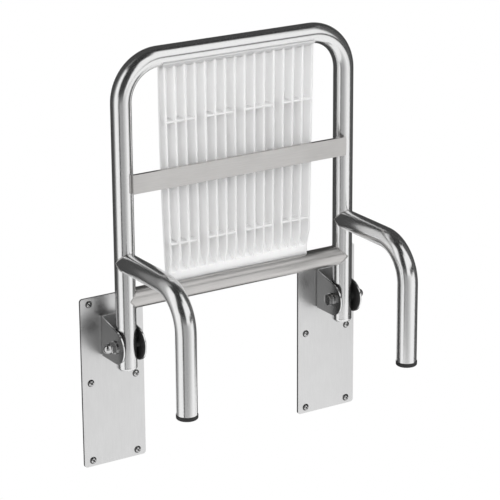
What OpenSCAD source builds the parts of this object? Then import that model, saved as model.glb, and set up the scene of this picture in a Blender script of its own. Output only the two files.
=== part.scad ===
// Fold down wall seat, drawn folded up against the wall.
// X runs along the wall, Y points into the wall and Z is up.
// The wall plane is Y = 0 and the origin is the middle of the outer wall screws.

/* [Seat frame] */
// Outside diameter of the frame, crossbar and leg tubes
tube_diameter = 32; // [28:1:34]
// Wall thickness of the tubes
tube_wall = 2; // [1.5:0.25:3]
// Distance between the axes of the two side tubes
side_tube_spacing = 400; // [380:5:440]
// Height of the top tube's axis above the hinge axis
frame_rise = 446; // [430:2:470]
// Centreline radius of the frame's two top corners
corner_radius = 64; // [60:1:68]
// Length of side tube below the hinge axis, closed end included
tube_tail = 39; // [35:0.5:40]
// Height of the domed end that closes each side tube
end_height = 6; // [5:0.5:8]
// Rounding of the domed end's edge
end_edge_radius = 4; // [2:0.5:5]
// Length of the domed end's spigot inside the tube
end_spigot_length = 8; // [5:1:12]

/* [Cross members] */
// Height of the round crossbar's axis above the hinge axis
crossbar_rise = 74; // [68:1:84]
// Height of the flat bar's middle above the hinge axis
flat_bar_rise = 260; // [235:5:285]
// Height of the flat bar's face
flat_bar_height = 30; // [24:1:36]
// Thickness of the flat bar
flat_bar_thickness = 6; // [4:0.5:7]
// Distance from the tube axes forward to the flat bar's back face
flat_bar_stand_off = 14; // [12:0.5:15]
// Distance that each end of the flat bar stops short of the tube's axis
flat_bar_end_inset = 7; // [5:0.5:8]

/* [Legs] */
// Height of the legs' upper run above the hinge axis
leg_rise = 135; // [125:1:150]
// Distance from the side tube's axis forward to the leg's lower run
leg_reach = 180; // [165:1:195]
// Centreline radius of the bend in each leg
leg_bend_radius = 62; // [56:1:70]
// Distance from the hinge axis down to the underside of the feet
leg_drop = 59; // [50:1:60]

/* [Feet] */
// Outside diameter of the rubber feet
foot_diameter = 33.6; // [32.5:0.1:35.5]
// Height of a foot below the end of its leg
foot_height = 7; // [6:0.5:12]
// Rounding of the foot's lower edge
foot_edge_radius = 2.5; // [1.5:0.25:3]
// Length of the foot's plug inside the leg
foot_plug_length = 20; // [12:1:30]
// Depth of the dimple in the foot's underside
foot_dimple_depth = 1.5; // [1:0.25:2.5]

/* [Wall plates] */
// Width of each wall plate
plate_width = 110; // [100:2:130]
// Height of each wall plate
plate_height = 280; // [276:2:300]
// Thickness of each wall plate
plate_thickness = 4; // [3:0.5:6]
// Radius of the plates' corners
plate_corner_radius = 5; // [2:0.5:8]

/* [Wall screws] */
// Distance between the two columns of screws in a plate
screw_column_spacing = 80; // [74:1:84]
// Distance between the rows of screws in a plate
screw_row_spacing = 130; // [122:1:131]
// Diameter of the screw shanks
screw_diameter = 6; // [5:0.5:6]
// Diameter of the screw holes in the plates
screw_hole_diameter = 6.6; // [6.3:0.1:8]
// Diameter of the plain neck between the head and the thread
screw_neck_diameter = 4.4; // [3.6:0.1:4.8]
// Length of the screws below the head
screw_length = 50; // [35:1:70]
// Length of the screws' pointed tip
screw_tip_length = 6; // [4:0.5:9]
// Diameter of the screw heads
screw_head_diameter = 12; // [11:0.5:13]
// Height of the screw heads
screw_head_height = 3.6; // [3:0.2:4.4]
// Width of a cut in the head's cross recess
recess_width = 1.4; // [1:0.1:1.8]
// Length of a cut in the head's cross recess
recess_length = 6; // [5:0.25:7]
// Depth of the cross recess
recess_depth = 2; // [1.5:0.1:2.4]

/* [Hinges] */
// Height of the hinge axis above the middle of the wall plates
hinge_height = 70; // [64:1:76]
// Distance from the plate's front face to the hinge axis
hinge_stand_off = 45; // [44:0.5:52]
// Thickness of the bent hinge bracket
bracket_thickness = 3; // [2:0.5:3.5]
// Inside radius of the bracket's two bends
bracket_bend_radius = 2; // [1:0.5:4]
// Radius of the rounded nose of each bracket ear
ear_nose_radius = 27; // [24:0.5:30]
// Height of the ear's back corner above the hinge axis
ear_top_rise = 38; // [34:1:44]
// Thickness of the plastic liner inside each ear
liner_thickness = 1.2; // [0.8:0.1:2]
// Margin between the liner's outline and the ear's
liner_margin = 1; // [0.5:0.25:3]
// Gap between a liner and the side tube
liner_gap = 0.3; // [0.2:0.05:0.6]

/* [Pivots] */
// Diameter of the pivot bolts
bolt_diameter = 10; // [8:1:12]
// Difference between the bolt holes and the bolt
bolt_hole_allowance = 0.4; // [0.2:0.1:1]
// Width across flats of the bolt head and cap nut
hex_across_flats = 17; // [16:1:19]
// Height of the bolt head
bolt_head_height = 6.4; // [5:0.2:8]
// Height of the cap nut's hexagon
nut_hex_height = 8; // [6:0.5:10]
// Diameter of the cap nut's dome
nut_dome_diameter = 15; // [14:0.5:15.5]
// Height of the cap nut's dome above the hexagon
nut_dome_height = 10; // [8:0.5:12]
// Depth to which the bolt fills the cap nut
nut_thread_depth = 12; // [9:0.5:13]
// Outside diameter of the washers
washer_diameter = 21; // [20:0.5:24]
// Thickness of the washers
washer_thickness = 2; // [1:0.25:2.5]
// Outside diameter of the pivot bush in each side tube
bush_diameter = 15; // [14:0.5:18]
// Difference between the bush's bore and the bolt
bush_allowance = 0.12; // [0.06:0.02:0.18]
// Gap between each end of the bush and its liner
bush_end_gap = 0.1; // [0.05:0.05:0.2]

/* [Seat panel] */
// Width of the panel at the top tube
panel_front_width = 270; // [250:2:272]
// Width of the panel at the crossbar
panel_rear_width = 256; // [240:2:270]
// Thickness of the sitting skin
panel_skin = 3; // [2.5:0.25:4]
// Distance from the tube axes back to the crown of the sitting skin
panel_crown = 16; // [15:0.5:18]
// Drop of the sitting skin from its crown to either end
panel_drop = 6; // [4:0.5:7]
// Number of ribs under the panel, both side walls included
rib_count = 16; // [16:4:20]
// Thickness of a rib
rib_thickness = 2.8; // [2:0.2:3.4]
// Overhang of the sitting skin past the side walls
panel_edge_lip = 0.8; // [0.5:0.1:1.5]
// Angle at which the side walls lean in towards the sitting face
panel_side_lean = 11; // [6:1:12]
// Height of the plain band above the rear clip's lip
panel_band_height = 13; // [8:1:16]
// Distance that the cross ribs stand back from the ribs' edges
cross_rib_set_back = 1; // [0.6:0.1:3]
// Gap between the ribs and the flat bar
panel_rest_gap = 0.3; // [0.2:0.1:0.6]
// Wall thickness of the panel's two clips
clip_wall = 3.2; // [2.5:0.1:4]
// Gap between a clip and its tube
clip_gap = 0.3; // [0.2:0.05:0.5]
// Angle by which the front clip wraps the tube forward of its underside
front_clip_wrap = 62; // [40:1:75]
// Angle by which the front clip climbs behind the tube
front_clip_climb = 32; // [5:1:35]
// Angle by which the rear clip wraps the crossbar forward of its top
rear_clip_wrap = 22; // [5:1:30]
// Angle by which the rear clip drops behind the crossbar
rear_clip_drop = 30; // [10:1:40]
// Radius of the sweep where the channels run out at the crossbar
run_out_radius = 26; // [22:1:28]
// Width of the drain slots
slot_width = 7; // [5:0.5:7.5]
// Skin left between a slot and a cross rib
slot_margin = 4; // [3:0.5:8]

/* [Hidden] */
$fn = 64;

// Overrun of every cut
cut = 1;
// Radial fit of the spigots and bushes that sit in a bore
seat_fit = 0.03;
left = -1;
right = 1;

tube_radius = tube_diameter / 2;
bore_radius = tube_radius - tube_wall;
side_x = side_tube_spacing / 2;
hinge_y = -plate_thickness - hinge_stand_off;
top_z = hinge_height + frame_rise;
crossbar_z = hinge_height + crossbar_rise;
flat_bar_z = hinge_height + flat_bar_rise;
flat_bar_back_y = hinge_y - flat_bar_stand_off;
leg_z = hinge_height + leg_rise;
leg_y = hinge_y - leg_reach;
leg_end_z = hinge_height - leg_drop + foot_height;
tail_z = hinge_height - tube_tail;
tube_end_z = tail_z + end_height;

ear_inner = tube_radius + liner_gap + liner_thickness;
ear_outer = ear_inner + bracket_thickness;
bolt_hole_radius = (bolt_diameter + bolt_hole_allowance) / 2;
hex_radius = hex_across_flats / 2 / cos(30);

// One side of the seat, drawn at its own tube axis, then put in place.
module at_side(side) {
    translate([side * side_x, 0, 0])
        children();
}

// A solid whose axis is the hinge axis, starting at x and running outwards.
module along_hinge(side, x) {
    translate([side * (side_x + x), hinge_y, hinge_height])
        rotate([0, side * 90, 0])
            children();
}

// Turns a flat outline in Y and Z into a slab of the given width along X.
module slab(width) {
    rotate([90, 0, 90])
        linear_extrude(height = width, center = true)
            children();
}

// Wall plates

module rounded_rectangle(width, height, radius) {
    square([width - 2 * radius, height], center = true);
    square([width, height - 2 * radius], center = true);
    for (sx = [-1, 1], sy = [-1, 1])
        translate([sx * (width / 2 - radius), sy * (height / 2 - radius)])
            circle(r = radius);
}

module at_screws() {
    for (column = [-1, 1], row = [-1:1])
        translate([column * screw_column_spacing / 2, 0, row * screw_row_spacing])
            children();
}

module wall_plate(side) {
    color("gainsboro")
        at_side(side)
            difference() {
                rotate([90, 0, 0])
                    linear_extrude(height = plate_thickness)
                        rounded_rectangle(plate_width, plate_height, plate_corner_radius);
                at_screws()
                    rotate([90, 0, 0])
                        translate([0, 0, -cut])
                            cylinder(d = screw_hole_diameter, h = plate_thickness + 2 * cut);
            }
}

// Wall screws

// Radius of the sphere whose cap has the head's diameter and height.
head_sphere = (pow(screw_head_diameter / 2, 2) + pow(screw_head_height, 2)) / (2 * screw_head_height);

module wall_screw() {
    difference() {
        union() {
            intersection() {
                translate([0, 0, screw_head_height - head_sphere])
                    sphere(r = head_sphere);
                cylinder(d = screw_head_diameter, h = screw_head_height);
            }
            translate([0, 0, -plate_thickness - cut])
                cylinder(d = screw_neck_diameter, h = plate_thickness + cut + recess_depth / 2);
            translate([0, 0, screw_tip_length - screw_length])
                cylinder(d = screw_diameter, h = screw_length - screw_tip_length - plate_thickness);
            translate([0, 0, -screw_length])
                cylinder(d1 = 0, d2 = screw_diameter, h = screw_tip_length);
        }
        for (turn = [45, 135])
            rotate([0, 0, turn])
                translate([-recess_length / 2, -recess_width / 2, screw_head_height - recess_depth])
                    cube([recess_length, recess_width, recess_depth + cut]);
    }
}

module wall_screws(side) {
    color("silver")
        at_side(side)
            at_screws()
                translate([0, -plate_thickness, 0])
                    rotate([90, 0, 0])
                        wall_screw();
}

// Hinge brackets

// Outline of an ear, with the hinge axis at zero and the plate at hinge_stand_off.
module ear_outline(radius, top, back) {
    reach = norm([back, top]);
    touch = atan2(top, back) + acos(radius / reach);
    circle(r = radius);
    polygon([
        [back, -radius],
        [back, top],
        [radius * cos(touch), radius * sin(touch)],
        [0, 0],
        [0, -radius]
    ]);
}

// Plan of the bent channel: a web on the plate with an ear on each side.
module channel_plan() {
    outer_bend = bracket_bend_radius + bracket_thickness;
    length = hinge_stand_off + ear_nose_radius + cut;
    difference() {
        channel_block(ear_outer, length, outer_bend);
        translate([0, -bracket_thickness])
            channel_block(ear_inner, length, bracket_bend_radius);
    }
}

module channel_block(half_width, length, radius) {
    translate([-half_width, -length])
        square([2 * half_width, length - radius]);
    translate([radius - half_width, -length])
        square([2 * (half_width - radius), length]);
    for (side = [-1, 1])
        translate([side * (half_width - radius), -radius])
            circle(r = radius);
}

module hinge_bracket(side) {
    color("silver")
        at_side(side)
            difference() {
                intersection() {
                    translate([0, -plate_thickness, hinge_height - ear_nose_radius - cut])
                        linear_extrude(height = ear_nose_radius + ear_top_rise + 2 * cut)
                            channel_plan();
                    translate([0, hinge_y, hinge_height])
                        slab(2 * ear_outer + 2 * cut)
                            ear_outline(ear_nose_radius, ear_top_rise, hinge_stand_off);
                }
                translate([-ear_outer - cut, hinge_y, hinge_height])
                    rotate([0, 90, 0])
                        cylinder(r = bolt_hole_radius, h = 2 * (ear_outer + cut));
            }
}

// The liner lies on the ear's inner face, clear of the web's bend.
module liner(side, face) {
    radius = ear_nose_radius - liner_margin;
    back = hinge_stand_off - bracket_thickness - bracket_bend_radius - liner_margin;
    top = ear_top_rise - 2 * liner_margin - (hinge_stand_off - back) * ear_slope;
    color("black")
        at_side(side)
            translate([face * (ear_inner - liner_thickness / 2), hinge_y, hinge_height])
                difference() {
                    slab(liner_thickness)
                        ear_outline(radius, top, back);
                    rotate([0, 90, 0])
                        cylinder(r = bolt_hole_radius, h = liner_thickness + 2 * cut, center = true);
                }
}

// Fall of the ear's top edge for each millimetre that it runs forward.
ear_slope = (ear_top_rise - ear_nose_radius) / hinge_stand_off;

// Pivots

module pivot_bolt(side) {
    grip = 2 * (ear_outer + washer_thickness);
    color("silver") {
        along_hinge(side, -ear_outer - washer_thickness - bolt_head_height)
            cylinder(r = hex_radius, h = bolt_head_height, $fn = 6);
        along_hinge(side, -ear_outer - washer_thickness - bolt_head_height)
            cylinder(d = bolt_diameter, h = bolt_head_height + grip + nut_thread_depth);
    }
}

module bolt_washers(side) {
    color("silver")
        for (x = [-ear_outer - washer_thickness, ear_outer])
            along_hinge(side, x)
                difference() {
                    cylinder(d = washer_diameter, h = washer_thickness);
                    translate([0, 0, -cut])
                        cylinder(r = bolt_hole_radius, h = washer_thickness + 2 * cut);
                }
}

module cap_nut(side) {
    dome_radius = nut_dome_diameter / 2;
    color("silver")
        along_hinge(side, ear_outer + washer_thickness)
            difference() {
                union() {
                    cylinder(r = hex_radius, h = nut_hex_height, $fn = 6);
                    cylinder(r = dome_radius, h = nut_hex_height + nut_dome_height - dome_radius);
                    translate([0, 0, nut_hex_height + nut_dome_height - dome_radius])
                        sphere(r = dome_radius);
                }
                translate([0, 0, -cut])
                    cylinder(d = bolt_diameter + 2 * seat_fit, h = nut_thread_depth + seat_fit + cut);
            }
}

module pivot_bush(side) {
    length = 2 * (ear_inner - liner_thickness - bush_end_gap);
    color("darkgray")
        along_hinge(side, -length / 2)
            difference() {
                cylinder(d = bush_diameter, h = length);
                translate([0, 0, -cut])
                    cylinder(d = bolt_diameter + bush_allowance, h = length + 2 * cut);
            }
}

// Seat frame

// The frame's hoop as a solid of the given radius: two side tubes, two corners and the top.
module hoop(radius) {
    straight = top_z - corner_radius - tube_end_z;
    for (side = [-1, 1])
        translate([side * side_x, hinge_y, tube_end_z])
            cylinder(r = radius, h = straight);
    for (side = [-1, 1])
        translate([side * (side_x - corner_radius), hinge_y, top_z - corner_radius])
            rotate([90, 0, 0])
                rotate([0, 0, side > 0 ? 0 : 90])
                    rotate_extrude(angle = 90)
                        translate([corner_radius, 0])
                            circle(r = radius);
    translate([corner_radius - side_x, hinge_y, top_z])
        rotate([0, 90, 0])
            cylinder(r = radius, h = side_tube_spacing - 2 * corner_radius);
}

module frame_tube() {
    color("silver")
        difference() {
            hoop(tube_radius);
            hoop(bore_radius);
            for (side = [-1, 1])
                along_hinge(side, -tube_radius - cut)
                    cylinder(r = bush_diameter / 2 + seat_fit, h = tube_diameter + 2 * cut);
        }
}

// Half section of a disc whose lower edge is rounded.
module disc_section(radius, height, edge) {
    square([radius - edge, height]);
    translate([0, edge])
        square([radius, height - edge]);
    intersection() {
        translate([radius - edge, edge])
            circle(r = edge);
        square([radius, height]);
    }
}

// Half section of a closed end: a spigot in the bore and a cap with a rounded edge.
module end_section() {
    square([bore_radius - seat_fit, end_height + end_spigot_length]);
    disc_section(tube_radius, end_height, end_edge_radius);
}

module tube_end(side) {
    color("silver")
        translate([side * side_x, hinge_y, tail_z])
            rotate_extrude()
                end_section();
}

// Takes the side tubes out of whatever is welded to them.
module coped() {
    difference() {
        children();
        for (side = [-1, 1])
            translate([side * side_x, hinge_y, tail_z])
                cylinder(r = tube_radius, h = frame_rise);
    }
}

module rear_crossbar() {
    color("lightgray")
        coped()
            translate([0, hinge_y, crossbar_z])
                rotate([0, 90, 0])
                    difference() {
                        cylinder(r = tube_radius, h = side_tube_spacing, center = true);
                        cylinder(r = bore_radius, h = side_tube_spacing + 2 * cut, center = true);
                    }
}

module middle_flat_bar() {
    length = side_tube_spacing - 2 * flat_bar_end_inset;
    color("lightgray")
        coped()
            translate([-length / 2, flat_bar_back_y - flat_bar_thickness, flat_bar_z - flat_bar_height / 2])
                cube([length, flat_bar_thickness, flat_bar_height]);
}

// Legs and feet

module leg_run(radius) {
    translate([0, hinge_y, leg_z])
        rotate([90, 0, 0])
            cylinder(r = radius, h = leg_reach - leg_bend_radius);
    translate([0, leg_y + leg_bend_radius, leg_z - leg_bend_radius])
        rotate([0, -90, 0])
            rotate([0, 0, -90])
                rotate_extrude(angle = 90)
                    translate([leg_bend_radius, 0])
                        circle(r = radius);
    translate([0, leg_y, leg_end_z])
        cylinder(r = radius, h = leg_z - leg_bend_radius - leg_end_z);
}

module leg(side) {
    color("silver")
        coped()
            at_side(side)
                difference() {
                    leg_run(tube_radius);
                    leg_run(bore_radius);
                }
}

// Half section of a foot: a plug in the leg and a pad with a rounded lower edge.
module foot_section() {
    pad_radius = foot_diameter / 2;
    difference() {
        union() {
            square([bore_radius - seat_fit, foot_height + foot_plug_length]);
            disc_section(pad_radius, foot_height, foot_edge_radius);
        }
        translate([-cut, -cut])
            square([pad_radius / 2 + cut, foot_dimple_depth + cut]);
    }
}

module foot(side) {
    color("dimgray")
        translate([side * side_x, leg_y, leg_end_z - foot_height])
            rotate_extrude()
                foot_section();
}

// Seat panel

panel_front_z = top_z - tube_radius;
panel_rear_z = crossbar_z + tube_radius;
panel_middle_z = (panel_front_z + panel_rear_z) / 2;
panel_length = panel_front_z - panel_rear_z;
// Radius of the arch that falls by panel_drop over half the panel's length
arch_radius = (pow(panel_length / 2, 2) + pow(panel_drop, 2)) / (2 * panel_drop);
clip_bore = tube_radius + clip_gap;
clip_radius = clip_bore + clip_wall;
rib_front = panel_rest_gap - flat_bar_stand_off;
// How far the ribs and cross ribs run into the skin
rib_bite = panel_skin / 2;
cross_rib_bite = panel_skin / 4;
half_front = panel_front_width / 2;
half_rear = panel_rear_width / 2;
// Places of the cross ribs as shares of the panel's length from the crossbar
cross_rib_shares = [0.18, 0.5, 0.75];
// Every fourth channel has a closed skin
group_size = 4;

// Front end of the rear clip, measured from the crossbar's axis
lip_y = -clip_radius * sin(rear_clip_wrap);
lip_z = clip_radius * cos(rear_clip_wrap);
// Top of the plain band in front of the rear clip
band_z = crossbar_z + lip_z + panel_band_height;
// Middle of the sweep where the channels run out, and where it leaves the skin
sweep_y = skin_y(band_z + run_out_radius) - panel_skin / 2 - run_out_radius;
sweep_z = band_z + sqrt(pow(run_out_radius, 2) - pow(lip_y - sweep_y, 2));
floor_z = sweep_z - sqrt(pow(run_out_radius, 2) - pow(run_out_radius - panel_skin / 2, 2));

// Where each bay between cross ribs starts and ends, run-out and front clip included
bay_edges = concat(
    [floor_z],
    [for (share = cross_rib_shares) panel_rear_z + share * panel_length],
    [top_z - clip_radius]
);

function half_width(z) = half_rear + (half_front - half_rear) * (z - panel_rear_z) / panel_length;
function rib_x(i, z) = (2 * i / (rib_count - 1) - 1) * (half_width(z) - panel_edge_lip - rib_thickness / 2);
function skin_y(z) = panel_crown - arch_radius + sqrt(pow(arch_radius, 2) - pow(z - panel_middle_z, 2));
function rib_angle(i) = atan((rib_x(i, panel_front_z) - rib_x(i, panel_rear_z)) / panel_length);
// How far a side wall has leaned in where it meets the skin
lean_in = (panel_crown - panel_skin - rib_front) * tan(panel_side_lean);
function side_of(i) = i == 0 ? left : i == rib_count - 1 ? right : 0;
function root_x(i, z) = rib_x(i, z) - side_of(i) * lean_in;

// Side view of everything in front of the sitting face, moved in by the given depth.
module arch(depth) {
    translate([panel_crown - arch_radius, panel_middle_z])
        circle(r = arch_radius - depth, $fn = 900);
}

// Side view of the space between the two tube axes, forward and back of them.
module between_tubes(front, back) {
    translate([front, crossbar_z])
        square([back - front, top_z - crossbar_z]);
}

module clip_bores(radius) {
    for (z = [crossbar_z, top_z])
        translate([0, z])
            circle(r = radius);
}

// A clip seen from the side, open between two angles. 0 points to the wall and 90 up.
module clip_ring(z, open_from, open_to) {
    far = 4 * clip_radius;
    translate([0, z])
        difference() {
            circle(r = clip_radius);
            circle(r = clip_bore);
            polygon(concat(
                [[0, 0]],
                [for (i = [0:3]) let (a = open_from + (open_to - open_from) * i / 3) [far * cos(a), far * sin(a)]]
            ));
        }
}

// The sitting skin with its clips and the sweep at the crossbar, seen from the side.
module skin_profile() {
    difference() {
        intersection() {
            arch(0);
            between_tubes(lip_y, panel_crown);
        }
        arch(panel_skin);
        clip_bores(clip_bore);
    }
    clip_ring(top_z, front_clip_climb, 270 - front_clip_wrap);
    clip_ring(crossbar_z, 90, 360 - rear_clip_drop);
    difference() {
        intersection() {
            arch(0);
            translate([lip_y, crossbar_z])
                square([panel_crown - lip_y, sweep_z - crossbar_z]);
        }
        translate([sweep_y, sweep_z])
            circle(r = run_out_radius);
        clip_bores(clip_bore);
    }
}

// A rib seen from the side. It ends inside the skin and the clips, which it braces.
module rib_profile() {
    clip_middle = clip_bore + clip_wall / 2;
    difference() {
        intersection() {
            arch(panel_skin - rib_bite);
            polygon([
                [0, crossbar_z],
                [-clip_middle * sin(rear_clip_wrap), crossbar_z + clip_middle * cos(rear_clip_wrap)],
                [-clip_middle * sin(rear_clip_wrap), band_z - panel_band_height / 2],
                [rib_front, sweep_z],
                [rib_front, top_z],
                [panel_crown, top_z],
                [panel_crown, crossbar_z]
            ]);
        }
        clip_bores(clip_middle);
    }
}

// Everything inwards of one long side of the panel, which tapers and leans.
module inside_of(side, inset) {
    reach = 2 * panel_front_width;
    translate([side * (half_width(panel_middle_z) - inset), hinge_y + rib_front, panel_middle_z])
        rotate([0, side * rib_angle(rib_count - 1), 0])
            rotate([0, 0, side * panel_side_lean])
                translate([-(side + 1) / 2 * reach, -reach / 2, -panel_length])
                    cube([reach, reach, 2 * panel_length]);
}

module panel_outline(inset) {
    intersection() {
        inside_of(left, inset);
        inside_of(right, inset);
    }
}

module side_walls() {
    difference() {
        intersection() {
            translate([0, hinge_y, 0])
                slab(panel_front_width)
                    rib_profile();
            panel_outline(panel_edge_lip);
        }
        panel_outline(panel_edge_lip + rib_thickness);
    }
}

module ribs() {
    for (i = [1:rib_count - 2])
        translate([rib_x(i, panel_middle_z), hinge_y, panel_middle_z])
            rotate([0, rib_angle(i), 0])
                translate([0, 0, -panel_middle_z])
                    slab(rib_thickness)
                        rib_profile();
}

// Short ribs across each group of slots, resting behind the flat bar at mid length.
module cross_ribs() {
    for (share = cross_rib_shares, first = [0:group_size:rib_count - group_size]) {
        z = panel_rear_z + share * panel_length;
        start = rib_x(first, z);
        front = rib_front + cross_rib_set_back;
        translate([start, hinge_y + front, z - rib_thickness / 2])
            cube([
                rib_x(first + group_size - 1, z) - start,
                skin_y(z) - panel_skin + cross_rib_bite - front,
                rib_thickness
            ]);
    }
}

module slot(length) {
    straight = length - slot_width;
    rotate([-90, 0, 0])
        linear_extrude(height = panel_crown + cut) {
            square([slot_width, straight], center = true);
            for (end = [-1, 1])
                translate([0, end * straight / 2])
                    circle(d = slot_width);
        }
}

// Three slots side by side in every group, one row to each bay.
module slots() {
    for (bay = [0:len(bay_edges) - 2], channel = [0:rib_count - 2])
        if ((channel + 1) % group_size != 0) {
            z = (bay_edges[bay] + bay_edges[bay + 1]) / 2;
            length = bay_edges[bay + 1] - bay_edges[bay] - 2 * slot_margin - rib_thickness;
            translate([(root_x(channel, z) + root_x(channel + 1, z)) / 2, hinge_y, z])
                rotate([0, (rib_angle(channel) + rib_angle(channel + 1)) / 2, 0])
                    slot(length);
        }
}

module seat_panel() {
    color("white") {
        difference() {
            intersection() {
                translate([0, hinge_y, 0])
                    slab(panel_front_width + clip_radius)
                        skin_profile();
                panel_outline(0);
            }
            slots();
        }
        side_walls();
        ribs();
        intersection() {
            cross_ribs();
            panel_outline(panel_edge_lip + rib_thickness / 2);
        }
    }
}

wall_plate(left);  // left_wall_plate
wall_plate(right);  // right_wall_plate
hinge_bracket(left);  // left_hinge_bracket
hinge_bracket(right);  // right_hinge_bracket
wall_screws(left);  // left_wall_screws
wall_screws(right);  // right_wall_screws
pivot_bolt(left);  // left_pivot_bolt
pivot_bolt(right);  // right_pivot_bolt
bolt_washers(left);  // left_bolt_washers
bolt_washers(right);  // right_bolt_washers
cap_nut(left);  // left_cap_nut
cap_nut(right);  // right_cap_nut
liner(left, left);  // left_outer_liner
liner(left, right);  // left_inner_liner
liner(right, right);  // right_outer_liner
liner(right, left);  // right_inner_liner
pivot_bush(left);  // left_pivot_bush
pivot_bush(right);  // right_pivot_bush
frame_tube();
tube_end(left);  // left_tube_end
tube_end(right);  // right_tube_end
rear_crossbar();
middle_flat_bar();
leg(left);  // left_leg
leg(right);  // right_leg
foot(left);  // left_foot
foot(right);  // right_foot
seat_panel();
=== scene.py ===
import math

import bpy
from mathutils import Matrix, Vector


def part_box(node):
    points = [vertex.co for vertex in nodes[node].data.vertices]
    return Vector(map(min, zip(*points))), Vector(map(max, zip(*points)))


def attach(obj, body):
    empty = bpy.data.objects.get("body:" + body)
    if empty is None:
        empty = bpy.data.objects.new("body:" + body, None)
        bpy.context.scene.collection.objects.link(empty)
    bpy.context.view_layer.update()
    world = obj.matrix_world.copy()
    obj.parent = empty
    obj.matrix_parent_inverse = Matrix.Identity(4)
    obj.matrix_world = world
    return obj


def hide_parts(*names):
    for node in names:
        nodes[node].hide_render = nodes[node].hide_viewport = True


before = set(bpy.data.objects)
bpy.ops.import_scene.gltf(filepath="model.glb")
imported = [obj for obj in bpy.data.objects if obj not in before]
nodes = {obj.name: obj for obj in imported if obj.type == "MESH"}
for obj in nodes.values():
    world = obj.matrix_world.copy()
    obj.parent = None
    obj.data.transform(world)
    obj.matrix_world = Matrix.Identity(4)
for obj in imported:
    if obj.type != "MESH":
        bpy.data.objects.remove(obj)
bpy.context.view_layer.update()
mm = 0.001
sides = ("left", "right")
print("frame loaded with", len(nodes), "nodes")


# Working with objects, as by hand

meshWork = {"merge": 0.002 * mm, "flatAngle": 0.5, "smoothAngle": 35, "easeAngle": 40}


def pick(*items):
    if bpy.context.object and bpy.context.object.mode != "OBJECT":
        bpy.ops.object.mode_set(mode="OBJECT")
    bpy.ops.object.select_all(action="DESELECT")
    for item in items:
        item.select_set(True)
    bpy.context.view_layer.objects.active = items[-1]


def editAll(item):
    pick(item)
    bpy.ops.object.mode_set(mode="EDIT")
    bpy.ops.mesh.select_all(action="SELECT")


def addToScene(name, data):
    item = bpy.data.objects.new(name, data)
    bpy.context.scene.collection.objects.link(item)
    return item


def applyPlace(item):
    pick(item)
    bpy.ops.object.transform_apply(location=True, rotation=True, scale=True)


def applyModifier(item, kind, **settings):
    pick(item)
    modifier = item.modifiers.new(kind.title(), kind)
    for key, value in settings.items():
        setattr(modifier, key, value)
    bpy.ops.object.modifier_apply(modifier=modifier.name)


def cutWith(item, cutter):
    applyModifier(item, "BOOLEAN", object=cutter, operation="DIFFERENCE", solver="EXACT")
    bpy.data.objects.remove(cutter)


def closeUp(item):
    editAll(item)
    bpy.ops.mesh.remove_doubles(threshold=meshWork["merge"])
    bpy.ops.mesh.normals_make_consistent(inside=False)
    bpy.ops.object.mode_set(mode="OBJECT")


def startCurve(name, radius, roundness, count):
    curve = bpy.data.curves.new(name, "CURVE")
    curve.dimensions = "3D"
    curve.bevel_depth = radius
    curve.bevel_resolution = roundness
    spline = curve.splines.new("POLY")
    spline.points.add(count - 1)
    return curve, spline


def curveToMesh(name, curve):
    pick(addToScene(name, curve))
    bpy.ops.object.convert(target="MESH")
    return bpy.context.object


def finishPiece(piece, name, body, replaced, material):
    applyPlace(piece)
    piece.name = name
    piece.data.name = name
    bpy.ops.object.shade_smooth_by_angle(angle=math.radians(meshWork["smoothAngle"]))
    piece.data.materials.clear()
    piece.data.materials.append(material)
    if replaced:
        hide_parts(*replaced)
    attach(piece, body)
    return piece


def rounded(node, name, body, material, width, segments=2):
    # A copy of the CAD mesh with its points merged, its flat faces made whole and its edges eased
    piece = addToScene(name, nodes[node].data.copy())
    editAll(piece)
    bpy.ops.mesh.customdata_custom_splitnormals_clear()
    bpy.ops.mesh.remove_doubles(threshold=meshWork["merge"])
    bpy.ops.mesh.dissolve_limited(angle_limit=math.radians(meshWork["flatAngle"]))
    bpy.ops.object.mode_set(mode="OBJECT")
    applyModifier(
        piece, "BEVEL", width=width, segments=segments, limit_method="ANGLE",
        angle_limit=math.radians(meshWork["easeAngle"]), use_clamp_overlap=True,
    )
    finishPiece(piece, name, body, [node], material)
    # Flat faces stay flat beside their eased edges
    applyModifier(piece, "WEIGHTED_NORMAL", keep_sharp=True)
    return piece


# Materials

metalWork = {
    "fineScale": 1.0, "fineDetail": 4.0, "fineRoughness": 0.6, "fineShare": 0.55,
    "cloudScale": 14.0, "cloudDetail": 3.0, "cloudRoughness": 0.55, "cloudLow": 0.1, "cloudHigh": 0.35,
    "maskFrom": 0.3, "maskTo": 0.75, "bumpDepth": 0.1 * mm,
}
mouldedWork = {
    "grainDetail": 3.0, "flowScale": 9.0, "flowDetail": 2.0, "flowDistortion": 0.6,
    "maskFrom": 0.35, "maskTo": 0.7, "bumpDepth": 0.05 * mm,
}


def makeGroup(name, inputs):
    tree = bpy.data.node_groups.new(name, "ShaderNodeTree")
    for label, kind, value in inputs:
        socket = tree.interface.new_socket(name=label, in_out="INPUT", socket_type="NodeSocket" + kind)
        socket.default_value = value
    for label, kind in (("Colour", "Color"), ("Roughness", "Float"), ("Normal", "Vector")):
        tree.interface.new_socket(name=label, in_out="OUTPUT", socket_type="NodeSocket" + kind)
    start = tree.nodes.new("NodeGroupInput").outputs
    end = tree.nodes.new("NodeGroupOutput").inputs
    return tree, start, end


def addNode(tree, kind, **sockets):
    node = tree.nodes.new("ShaderNode" + kind)
    for key, value in sockets.items():
        socket = node.inputs[key.replace("_", " ")]
        if isinstance(value, bpy.types.NodeSocket):
            tree.links.new(value, socket)
        else:
            socket.default_value = value
    return node


def spread(tree, value, low, high):
    node = addNode(tree, "MapRange", Value=value, To_Min=low, To_Max=high)
    return node.outputs["Result"]


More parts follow.
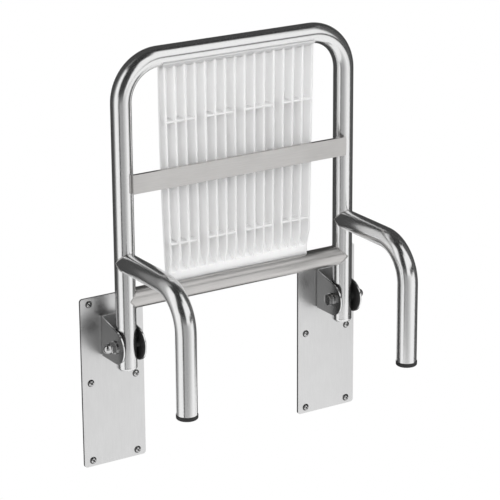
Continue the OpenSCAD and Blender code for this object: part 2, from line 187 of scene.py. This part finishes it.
def makeMask(tree, value, work):
    node = addNode(tree, "MapRange", Value=value, From_Min=work["maskFrom"], From_Max=work["maskTo"])
    return node.outputs["Result"]


def mixColours(tree, share, first, second):
    # The mix node's colour sockets are its seventh and eighth inputs and its third output
    node = tree.nodes.new("ShaderNodeMix")
    node.data_type = "RGBA"
    tree.links.new(share, node.inputs[0])
    tree.links.new(first, node.inputs[6])
    tree.links.new(second, node.inputs[7])
    return node.outputs[2]


def mixShaders(tree, share, first, second):
    node = tree.nodes.new("ShaderNodeMixShader")
    tree.links.new(share, node.inputs[0])
    tree.links.new(first.outputs[0], node.inputs[1])
    tree.links.new(second.outputs[0], node.inputs[2])
    return node


def makeMetalFinish():
    tree, start, end = makeGroup(
        "metalFinish",
        [
            ("Light", "Color", (0.8, 0.8, 0.8, 1)), ("Dark", "Color", (0.6, 0.6, 0.6, 1)),
            ("Grain", "Vector", (1, 1, 1)), ("Smooth", "Float", 0.1), ("Rough", "Float", 0.3),
            ("Relief", "Float", 0.1),
        ],
    )
    place = addNode(tree, "TexCoord").outputs["Object"]
    lines = addNode(tree, "Mapping", Vector=place, Scale=start["Grain"]).outputs["Vector"]
    fine = addNode(
        tree, "TexNoise", Vector=lines, Scale=metalWork["fineScale"],
        Detail=metalWork["fineDetail"], Roughness=metalWork["fineRoughness"],
    ).outputs["Fac"]
    cloud = addNode(
        tree, "TexNoise", Vector=place, Scale=metalWork["cloudScale"],
        Detail=metalWork["cloudDetail"], Roughness=metalWork["cloudRoughness"],
    ).outputs["Fac"]
    blend = addNode(tree, "Math", Value=fine)
    blend.operation = "MULTIPLY_ADD"
    blend.inputs[1].default_value = metalWork["fineShare"]
    tree.links.new(spread(tree, cloud, metalWork["cloudLow"], metalWork["cloudHigh"]), blend.inputs[2])
    mask = makeMask(tree, blend.outputs[0], metalWork)
    tree.links.new(mixColours(tree, mask, start["Light"], start["Dark"]), end["Colour"])
    tree.links.new(spread(tree, mask, start["Smooth"], start["Rough"]), end["Roughness"])
    bump = addNode(tree, "Bump", Height=fine, Strength=start["Relief"], Distance=metalWork["bumpDepth"])
    tree.links.new(bump.outputs["Normal"], end["Normal"])
    return tree


def makeMouldedFinish():
    tree, start, end = makeGroup(
        "mouldedFinish",
        [
            ("Light", "Color", (0.8, 0.8, 0.8, 1)), ("Dark", "Color", (0.7, 0.7, 0.7, 1)),
            ("Grain", "Float", 900.0), ("Smooth", "Float", 0.4), ("Rough", "Float", 0.55),
            ("Relief", "Float", 0.15),
        ],
    )
    place = addNode(tree, "TexCoord").outputs["Object"]
    grain = addNode(
        tree, "TexNoise", Vector=place, Scale=start["Grain"], Detail=mouldedWork["grainDetail"],
    ).outputs["Fac"]
    flow = addNode(
        tree, "TexNoise", Vector=place, Scale=mouldedWork["flowScale"],
        Detail=mouldedWork["flowDetail"], Distortion=mouldedWork["flowDistortion"],
    ).outputs["Fac"]
    mask = makeMask(tree, flow, mouldedWork)
    tree.links.new(mixColours(tree, mask, start["Light"], start["Dark"]), end["Colour"])
    tree.links.new(spread(tree, grain, start["Smooth"], start["Rough"]), end["Roughness"])
    bump = addNode(tree, "Bump", Height=grain, Strength=start["Relief"], Distance=mouldedWork["bumpDepth"])
    tree.links.new(bump.outputs["Normal"], end["Normal"])
    return tree


metalFinish = makeMetalFinish()
mouldedFinish = makeMouldedFinish()


def makeMaterial(name, finish, values, metallic=0.0, **sockets):
    material = bpy.data.materials.new(name)
    material.use_nodes = True
    tree = material.node_tree
    shader = tree.nodes["Principled BSDF"]
    surface = tree.nodes.new("ShaderNodeGroup")
    surface.node_tree = finish
    for key, value in values.items():
        surface.inputs[key].default_value = value
    shader.inputs["Metallic"].default_value = metallic
    for key, value in sockets.items():
        shader.inputs[key.replace("_", " ")].default_value = value
    tree.links.new(surface.outputs["Colour"], shader.inputs["Base Color"])
    tree.links.new(surface.outputs["Roughness"], shader.inputs["Roughness"])
    tree.links.new(surface.outputs["Normal"], shader.inputs["Normal"])
    material.diffuse_color = values["Light"]
    return material


def makeMetal(name, metallic=1.0, **values):
    return makeMaterial(name, metalFinish, values, metallic=metallic)


def grey(level, warmth=0.0):
    return (level * (1 + warmth), level, level * (1 - warmth), 1)


polishedTube = makeMetal(
    "polishedTube", Light=grey(0.86), Dark=grey(0.83), Grain=(900, 900, 900),
    Smooth=0.19, Rough=0.22, Relief=0.02,
)
satinBar = makeMetal(
    "satinBar", Light=grey(0.66, 0.02), Dark=grey(0.54, 0.02), Grain=(40, 1500, 1500),
    Smooth=0.28, Rough=0.42, Relief=0.25,
)
brushedPlate = makeMetal(
    "brushedPlate", Light=grey(0.76), Dark=grey(0.68), Grain=(1400, 1400, 45),
    Smooth=0.26, Rough=0.38, Relief=0.18,
)
# Painted shade: the hinge brackets' steel is the plates' steel made darker for the shade the ears sit in
shadedBracketSteel = makeMetal(
    "shadedBracketSteel", Light=grey(0.38), Dark=grey(0.31), Grain=(1300, 1300, 90),
    Smooth=0.17, Rough=0.24, Relief=0.1,
)
# Painted shade: a grey for the bracket's web between the ears
paintedWebShade = makeMetal(
    "paintedWebShade", Light=grey(0.4), Dark=grey(0.31), Grain=(1300, 1300, 90),
    Smooth=0.4, Rough=0.55, Relief=0.1, metallic=0.35,
)
brightFastener = makeMetal(
    "brightFastener", Light=grey(0.68), Dark=grey(0.56), Grain=(700, 700, 700),
    Smooth=0.07, Rough=0.13, Relief=0.03,
)
screwSteel = makeMetal(
    "screwSteel", Light=grey(0.72), Dark=grey(0.58), Grain=(900, 900, 900),
    Smooth=0.14, Rough=0.24, Relief=0.08,
)
# Painted shade for the screws' cross-shaped hollows
paintedRecessShade = makeMetal(
    "paintedRecessShade", Light=grey(0.05), Dark=grey(0.02), Grain=(900, 900, 900),
    Smooth=0.4, Rough=0.6, Relief=0.1,
)
# Painted shade for a dark ring round the screw heads' outer edges
paintedRimShade = makeMetal(
    "paintedRimShade", Light=grey(0.13), Dark=grey(0.08), Grain=(900, 900, 900),
    Smooth=0.25, Rough=0.4, Relief=0.08,
)
weldSeam = makeMetal(
    "weldSeam", Light=grey(0.66, 0.01), Dark=grey(0.5, 0.03), Grain=(900, 900, 900),
    Smooth=0.2, Rough=0.36, Relief=0.3,
)
whitePlastic = makeMaterial(
    "whitePlastic", mouldedFinish,
    {
        "Light": grey(0.88), "Dark": grey(0.86, 0.004), "Grain": 1100.0,
        "Smooth": 0.36, "Rough": 0.5, "Relief": 0.1,
    },
    Subsurface_Weight=1.0, Subsurface_Scale=0.03, Subsurface_Radius=(1.0, 1.0, 1.0),
)
blackLiner = makeMaterial(
    "blackLiner", mouldedFinish,
    {
        "Light": grey(0.018), "Dark": grey(0.012), "Grain": 900.0,
        "Smooth": 0.42, "Rough": 0.58, "Relief": 0.15,
    },
)
rubberFoot = makeMaterial(
    "rubberFoot", mouldedFinish,
    {
        "Light": grey(0.02), "Dark": grey(0.013), "Grain": 700.0,
        "Smooth": 0.5, "Rough": 0.7, "Relief": 0.3,
    },
)
print("materials made")


# Tubes

tubeWork = {
    "sides": 64, "wall": 2 * mm, "bendSteps": 22, "cornerRadius": 64 * mm, "legBend": 62 * mm,
    "sink": 0.2 * mm, "boreSides": 32,
}
hoopLow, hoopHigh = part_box("frame_tube")
tubeRadius = (hoopHigh.y - hoopLow.y) / 2
tubeY = (hoopHigh.y + hoopLow.y) / 2
sideX = hoopHigh.x - tubeRadius
topZ = hoopHigh.z - tubeRadius


def startTube(centre, turn=(0, 0, 0)):
    pick(nodes["frame_tube"])
    bpy.ops.mesh.primitive_circle_add(
        vertices=tubeWork["sides"], radius=tubeRadius, location=centre, rotation=turn,
    )
    tube = bpy.context.object
    applyPlace(tube)
    editAll(tube)
    return tube


def runTube(x, y, z):
    bpy.ops.mesh.extrude_region_move(TRANSFORM_OT_translate={"value": (x, y, z)})


def bendTube(centre, axis, degrees):
    # The operator turns clockwise about its axis
    bpy.ops.mesh.spin(
        steps=tubeWork["bendSteps"], angle=-math.radians(degrees), center=centre, axis=axis,
    )


def closeTube(tube):
    bpy.ops.object.mode_set(mode="OBJECT")
    closeUp(tube)
    applyModifier(tube, "SOLIDIFY", thickness=tubeWork["wall"], offset=-1, use_even_offset=True)
    closeUp(tube)


def sideTubeCutter(x):
    bpy.ops.mesh.primitive_cylinder_add(
        vertices=tubeWork["sides"], radius=tubeRadius - tubeWork["sink"],
        depth=2 * topZ, location=(x, tubeY, 0),
    )
    return bpy.context.object


def makeHoop():
    corner = tubeWork["cornerRadius"]
    hoop = startTube((-sideX, tubeY, hoopLow.z))
    runTube(0, 0, topZ - corner - hoopLow.z)
    bendTube((-sideX + corner, tubeY, topZ - corner), (0, 1, 0), 90)
    runTube(2 * (sideX - corner), 0, 0)
    bendTube((sideX - corner, tubeY, topZ - corner), (0, 1, 0), 90)
    runTube(0, 0, hoopLow.z - topZ + corner)
    closeTube(hoop)
    for side in sides:
        low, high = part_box(side + "_pivot_bush")
        bpy.ops.mesh.primitive_cylinder_add(
            vertices=tubeWork["boreSides"], radius=(high.z - low.z) / 2, depth=4 * tubeRadius,
            location=(low + high) / 2, rotation=(0, math.pi / 2, 0),
        )
        cutWith(hoop, bpy.context.object)
    return finishPiece(hoop, "frameHoop", "seat", ["frame_tube"], polishedTube)


def makeLeg(side):
    low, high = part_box(side + "_leg")
    x, y, z = (low.x + high.x) / 2, low.y + tubeRadius, high.z - tubeRadius
    bend = tubeWork["legBend"]
    leg = startTube((x, y, low.z))
    runTube(0, 0, z - bend - low.z)
    bendTube((x, y + bend, z - bend), (1, 0, 0), -90)
    runTube(0, tubeY - y - bend, 0)
    closeTube(leg)
    cutWith(leg, sideTubeCutter(x))
    return finishPiece(leg, side + "Leg", "seat", [side + "_leg"], polishedTube)


def makeCrossbar():
    low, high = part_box("rear_crossbar")
    bar = startTube((-sideX, tubeY, (low.z + high.z) / 2), (0, math.pi / 2, 0))
    runTube(2 * sideX, 0, 0)
    closeTube(bar)
    for x in (-sideX, sideX):
        cutWith(bar, sideTubeCutter(x))
    return finishPiece(bar, "rearCrossbar", "seat", ["rear_crossbar"], satinBar)


weldWork = {"points": 96, "radius": 0.8 * mm, "roundness": 3, "ripples": 46, "rippleShare": 0.12}


def makeBead(name, centre, along, across):
    # A weld follows the line where one tube meets another of the same width
    count = weldWork["points"]
    curve, spline = startCurve(name, weldWork["radius"], weldWork["roundness"], count)
    spline.use_cyclic_u = True
    for i, point in enumerate(spline.points):
        t = 2 * math.pi * i / count
        sideways = tubeRadius * math.cos(t)
        forward = math.sqrt(max(tubeRadius**2 - sideways**2, 0))
        place = Vector(centre) + Vector(across) * sideways + Vector((0, 0, tubeRadius * math.sin(t)))
        point.co = (place + Vector(along) * forward).to_4d()
        point.radius = 1 + weldWork["rippleShare"] * math.sin(weldWork["ripples"] * t)
    return finishPiece(curveToMesh(name, curve), name, "seat", [], weldSeam)


makeHoop()
barLow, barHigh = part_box("rear_crossbar")
for side, x, inward in (("left", -sideX, 1), ("right", sideX, -1)):
    makeLeg(side)
    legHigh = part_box(side + "_leg")[1]
    makeBead(side + "LegWeld", (x, tubeY, legHigh.z - tubeRadius), (0, -1, 0), (1, 0, 0))
    makeBead(side + "CrossbarWeld", (x, tubeY, (barLow.z + barHigh.z) / 2), (inward, 0, 0), (0, 1, 0))
makeCrossbar()
print("tubes made")


# Pieces that keep their CAD shape, with eased edges: node, name, body, slot, material and easing

easing = [
    ("{}_wall_plate", "{}WallPlate", "wall_mount", "brushed_steel_plate", brushedPlate, 0.5 * mm),
    # The brackets' darker steel is painted shade
    ("{}_hinge_bracket", "{}HingeBracket", "wall_mount", "brushed_steel_plate", shadedBracketSteel, 0.5 * mm),
    ("{}_pivot_bolt", "{}PivotBolt", "wall_mount", "bright_fasteners", brightFastener, 0.5 * mm),
    ("{}_bolt_washers", "{}BoltWashers", "wall_mount", "bright_fasteners", brightFastener, 0.3 * mm),
    ("{}_cap_nut", "{}CapNut", "wall_mount", "bright_fasteners", brightFastener, 0.5 * mm),
    ("{}_outer_liner", "{}OuterLiner", "wall_mount", "black_liner", blackLiner, 0.2 * mm),
    ("{}_inner_liner", "{}InnerLiner", "wall_mount", "black_liner", blackLiner, 0.2 * mm),
    ("{}_pivot_bush", "{}PivotBush", "seat", "pivot_bush", brightFastener, 0.2 * mm),
    ("{}_tube_end", "{}TubeEnd", "seat", "polished_tube", polishedTube, 0.2 * mm),
    ("{}_foot", "{}Foot", "seat", "foot_rubber", rubberFoot, 0.4 * mm),
]
bracketWork = {"webDepth": 6 * mm, "facingFront": 0.9, "facingSide": 0.3}


def paintBracketShadeAndHighlight(bracket):
    # Painted shade and highlight: the web between the ears takes a grey set to its shaded tone, and the
    # ears' cut edges take the shiny tube steel as a painted highlight
    bracket.data.materials.append(paintedWebShade)
    bracket.data.materials.append(polishedTube)
    webShadeSlot, edgeHighlightSlot = 1, 2
    back = max(vertex.co.y for vertex in bracket.data.vertices)
    for face in bracket.data.polygons:
        if face.center.y > back - bracketWork["webDepth"]:
            if face.normal.y < -bracketWork["facingFront"]:
                face.material_index = webShadeSlot
        elif abs(face.normal.x) < bracketWork["facingSide"]:
            face.material_index = edgeHighlightSlot


for node, name, body, slotName, material, width in easing:
    for side in sides:
        piece = rounded(node.format(side), name.format(side), body, material, width)
        # The brackets get a painted shade on the web and a painted highlight on the ears' edges
        if material == shadedBracketSteel:
            paintBracketShadeAndHighlight(piece)
screwWork = {
    "easing": 0.25 * mm, "headReach": 7 * mm, "plateGap": 0.1 * mm, "cell": 20 * mm, "shankStart": 5 * mm,
    "recessReach": 3.2 * mm, "recessSteepest": 0.35, "floorDepth": 0.9 * mm, "floorFlat": 0.9,
    "edgeStart": 4.3 * mm, "edgeSteepest": 0.8,
    "pitch": 2.5 * mm, "ridge": 0.4 * mm, "turnPoints": 14, "threadStart": 1 * mm, "threadEnd": 7 * mm,
}


def paintHeadShade(row, x, z, headTop, plateFront):
    # Painted shade: near-black inside each head's cross-shaped hollow, and a dark ring round each dome's
    # outer edge, where shade falls
    recessShadeSlot, rimShadeSlot = 1, 2
    for face in row.data.polygons:
        place = face.center
        if place.y > plateFront - screwWork["plateGap"]:
            continue
        reach = math.hypot(place.x - x, place.z - z)
        steep = abs(face.normal.y)
        deep = place.y > headTop + screwWork["floorDepth"]
        bottom = deep and face.normal.y < -screwWork["floorFlat"]
        if reach < screwWork["recessReach"] and (steep < screwWork["recessSteepest"] or bottom):
            face.material_index = recessShadeSlot
        elif screwWork["edgeStart"] < reach < screwWork["headReach"] and steep < screwWork["edgeSteepest"]:
            face.material_index = rimShadeSlot


def makeThread(x, z, radius, start, end):
    turnPoints = screwWork["turnPoints"]
    count = int((end - start) / screwWork["pitch"] * turnPoints)
    curve, spline = startCurve("thread", screwWork["ridge"], 0, count)
    for i, point in enumerate(spline.points):
        t = 2 * math.pi * i / turnPoints
        y = start + (end - start) * i / (count - 1)
        point.co = (x + radius * math.cos(t), y, z + radius * math.sin(t), 1)
        point.radius = min(1, i / turnPoints, (count - 1 - i) / turnPoints)
    thread = curveToMesh("thread", curve)
    thread.data.materials.append(screwSteel)
    return thread


def findShanks(row, start):
    # The points beyond a depth, sorted into one list for each screw
    shanks = {}
    for vertex in row.data.vertices:
        if vertex.co.y > start:
            cell = round(vertex.co.x / screwWork["cell"]), round(vertex.co.z / screwWork["cell"])
            shanks.setdefault(cell, []).append(vertex.co.copy())
    return shanks.values()


def makeWallScrews(side):
    name = side + "WallScrews"
    plateLow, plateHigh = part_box(side + "_wall_plate")
    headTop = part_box(side + "_wall_screws")[0].y
    row = rounded(
        side + "_wall_screws", name, "wall_mount", screwSteel, screwWork["easing"],
    )
    # The screw heads take painted shade in their hollows and round their outer edges
    row.data.materials.append(paintedRecessShade)
    row.data.materials.append(paintedRimShade)
    threads = []
    for shank in findShanks(row, plateHigh.y + screwWork["shankStart"]):
        left, right = min(co.x for co in shank), max(co.x for co in shank)
        x = (left + right) / 2
        z = (min(co.z for co in shank) + max(co.z for co in shank)) / 2
        start = plateHigh.y + screwWork["threadStart"]
        end = max(co.y for co in shank) - screwWork["threadEnd"]
        paintHeadShade(row, x, z, headTop, plateLow.y)
        threads.append(makeThread(x, z, (right - left) / 2, start, end))
    pick(*threads, row)
    bpy.ops.object.join()


for side in sides:
    makeWallScrews(side)
rounded("middle_flat_bar", "middleFlatBar", "seat", satinBar, 0.8 * mm, segments=3)
rounded("seat_panel", "seatPanel", "seat", whitePlastic, 0.35 * mm)
print("remaining pieces made")


# Camera, at the photograph's angle

camera = {
    "azimuth": -32.132, "elevation": 18.540, "roll": -0.363, "focalPixels": 2313.2, "imagePixels": 500,
    "sensor": 36.0, "place": (-1.8059, -2.9638, 1.3366), "nearest": 0.1, "farthest": 50,
}


def makeCamera():
    data = bpy.data.cameras.new("camera")
    data.sensor_width = camera["sensor"]
    data.lens = camera["focalPixels"] / camera["imagePixels"] * camera["sensor"]
    data.clip_start = camera["nearest"]
    data.clip_end = camera["farthest"]
    a, e, r = (math.radians(camera[key]) for key in ("azimuth", "elevation", "roll"))
    level = Vector((math.cos(a), math.sin(a), 0))
    forward = Vector((-math.sin(a) * math.cos(e), math.cos(a) * math.cos(e), -math.sin(e)))
    upright = level.cross(forward)
    right = level * math.cos(r) + upright * math.sin(r)
    up = upright * math.cos(r) - level * math.sin(r)
    item = addToScene("camera", data)
    turn = Matrix((right, up, -forward)).transposed().to_4x4()
    item.matrix_world = Matrix.Translation(camera["place"]) @ turn
    bpy.context.scene.camera = item


makeCamera()
print("camera placed")


# Studio: a white surround, a pale floor, two soft lamps, and grey cards that only reflections see

studio = {
    "floorZ": -0.40, "floorSize": 14.0, "floorPaint": 0.82, "floorLift": 0.2,
    "cardRadius": 1.15, "cardTop": 1.6, "cardStep": 10, "boardY": -0.0005, "ceilingZ": 1.62,
    "ambient": 0.85,
}


def emitter(name, level):
    material = bpy.data.materials.new(name)
    material.use_nodes = True
    tree = material.node_tree
    tree.nodes.clear()
    light = addNode(tree, "Emission", Color=grey(level), Strength=1.0)
    output = tree.nodes.new("ShaderNodeOutputMaterial")
    tree.links.new(light.outputs[0], output.inputs["Surface"])
    return material, tree, light, output


def makeWorld():
    world = bpy.data.worlds.new("studio")
    bpy.context.scene.world = world
    world.use_nodes = True
    tree = world.node_tree
    background = tree.nodes["Background"]
    background.inputs["Color"].default_value = (1, 1, 1, 1)
    path = tree.nodes.new("ShaderNodeLightPath").outputs
    seen = path["Is Camera Ray"]
    for ray in ("Is Glossy Ray", "Is Transmission Ray"):
        either = tree.nodes.new("ShaderNodeMath")
        either.operation = "MAXIMUM"
        tree.links.new(seen, either.inputs[0])
        tree.links.new(path[ray], either.inputs[1])
        seen = either.outputs[0]
    tree.links.new(spread(tree, seen, studio["ambient"], 1.0), background.inputs["Strength"])


def makeFloor():
    # The camera sees the floor nearly white with the shadow on it, and reflections see it white
    bpy.ops.mesh.primitive_plane_add(size=studio["floorSize"], location=(0, 0, studio["floorZ"]))
    floor = bpy.context.object
    floor.name = "floor"
    material, tree, glow, output = emitter("paleFloor", 1.0)
    path = tree.nodes.new("ShaderNodeLightPath").outputs
    paint = addNode(tree, "BsdfDiffuse", Color=grey(studio["floorPaint"]))
    lift = spread(tree, path["Is Camera Ray"], 0.0, studio["floorLift"])
    lifted = addNode(tree, "Emission", Color=grey(1.0), Strength=lift)
    shaded = tree.nodes.new("ShaderNodeAddShader")
    tree.links.new(paint.outputs[0], shaded.inputs[0])
    tree.links.new(lifted.outputs[0], shaded.inputs[1])
    blend = mixShaders(tree, path["Is Glossy Ray"], shaded, glow)
    tree.links.new(blend.outputs[0], output.inputs["Surface"])
    floor.data.materials.append(material)


def makeWall():
    # Hides what is sunk into the wall from the front, and is clear from behind
    size = studio["floorSize"]
    bpy.ops.mesh.primitive_plane_add(
        size=size, location=(0, 0, studio["floorZ"] + size / 2), rotation=(math.pi / 2, 0, 0),
    )
    wall = bpy.context.object
    wall.name = "wall"
    material, tree, light, output = emitter("whiteWall", 1.0)
    back = tree.nodes.new("ShaderNodeNewGeometry").outputs["Backfacing"]
    blend = mixShaders(tree, back, light, addNode(tree, "BsdfTransparent"))
    tree.links.new(blend.outputs[0], output.inputs["Surface"])
    wall.data.materials.append(material)
    for way in ("diffuse", "glossy", "transmission", "shadow"):
        setattr(wall, "visible_" + way, False)


def finishCard(card, level):
    card.data.materials.append(emitter(card.name, level)[0])
    for way in ("camera", "diffuse", "transmission", "shadow"):
        setattr(card, "visible_" + way, False)


def makeCard(name, level, fromAngle, toAngle, bottom, top):
    # Angles in degrees from the camera's side of the object, positive to the viewer's right
    steps = max(2, int(abs(toAngle - fromAngle) / studio["cardStep"]))
    points = []
    for i in range(steps + 1):
        t = math.radians(fromAngle + (toAngle - fromAngle) * i / steps + camera["azimuth"])
        x, y = math.sin(t) * studio["cardRadius"], -math.cos(t) * studio["cardRadius"]
        points += [(x, y, bottom), (x, y, top)]
    faces = [(2 * i, 2 * i + 2, 2 * i + 3, 2 * i + 1) for i in range(steps)]
    mesh = bpy.data.meshes.new(name)
    mesh.from_pydata(points, [], faces)
    finishCard(addToScene(name, mesh), level)


def makeFlatCard(name, level, across, onward, y=None, z=None):
    # A board stands upright at depth y, across in X and onward in Z; a ceiling lies at height z
    x, second = (across[0] + across[1]) / 2, (onward[0] + onward[1]) / 2
    place = (x, second, z) if y is None else (x, y, second)
    turn = (0, 0, 0) if y is None else (math.pi / 2, 0, 0)
    bpy.ops.mesh.primitive_plane_add(size=1, location=place, rotation=turn)
    card = bpy.context.object
    card.name = name
    card.scale = (across[1] - across[0], onward[1] - onward[0], 1)
    applyPlace(card)
    finishCard(card, level)


def makeLamp(name, power, size, place, aim):
    data = bpy.data.lights.new(name, "AREA")
    data.energy = power
    data.size = size
    lamp = addToScene(name, data)
    lamp.location = place
    lamp.rotation_euler = (Vector(aim) - Vector(place)).to_track_quat("-Z", "Y").to_euler()
    lamp.visible_glossy = False


# Name, level, from and to in degrees, bottom and top
low, high = studio["floorZ"] + 1 * mm, studio["cardTop"]
ringCards = [
    ("frontCard", 0.40, -18, 14, low, 0.30),
    ("frontCardSecond", 0.48, 14, 25, low, 0.30),
    ("frontCardThird", 0.62, 25, 37, low, 0.30),
    ("frontCardLast", 0.80, 37, 48, low, 0.30),
    ("frontEdgeCard", 0.02, -28, -18, low, 0.52),
    ("lowBrowCard", 0.16, -28, 16, 0.30, 0.46),
    ("browCard", 0.04, -35, 18, 0.46, high),
    ("horizonCard", 0.02, 48, 84, 0.30, 0.52),
    ("rightCard", 0.10, 84, 140, low, high),
    ("leftCard", 0.62, -98, -72, low, high),
]
# Name, level, and the reach in X and in Z
boards = [
    ("darkBoard", 0.065, (-0.30, 1.6), (-0.40, 1.6)),
    ("greyBoard", 0.22, (-0.37, -0.30), (-0.40, 1.6)),
    ("paleBoard", 0.42, (-0.50, -0.37), (-0.40, 1.6)),
]
# Name, level, and the reach in X and in Y
ceilings = [
    ("ceilingCard", 0.04, (-1.1, 1.1), (-0.55, 1.65)),
    ("frontCeilingCard", 0.03, (-1.0, 0.20), (-1.2, -0.55)),
]
# Name, power, size, place and aim
lamps = [
    ("keyLamp", 8.0, 0.7, (0.4, -1.15, 0.95), (0, -0.06, 0.33)),
    ("fillLamp", 6.0, 1.8, (-1.9, -1.8, 1.2), (0, -0.06, 0.25)),
]
makeWorld()
makeFloor()
makeWall()
for card in ringCards:
    makeCard(*card)
for board in boards:
    makeFlatCard(*board, y=studio["boardY"])
for ceiling in ceilings:
    makeFlatCard(*ceiling, z=studio["ceilingZ"])
for lamp in lamps:
    makeLamp(*lamp)

bpy.context.scene.view_settings.view_transform = "Standard"
print("studio made")
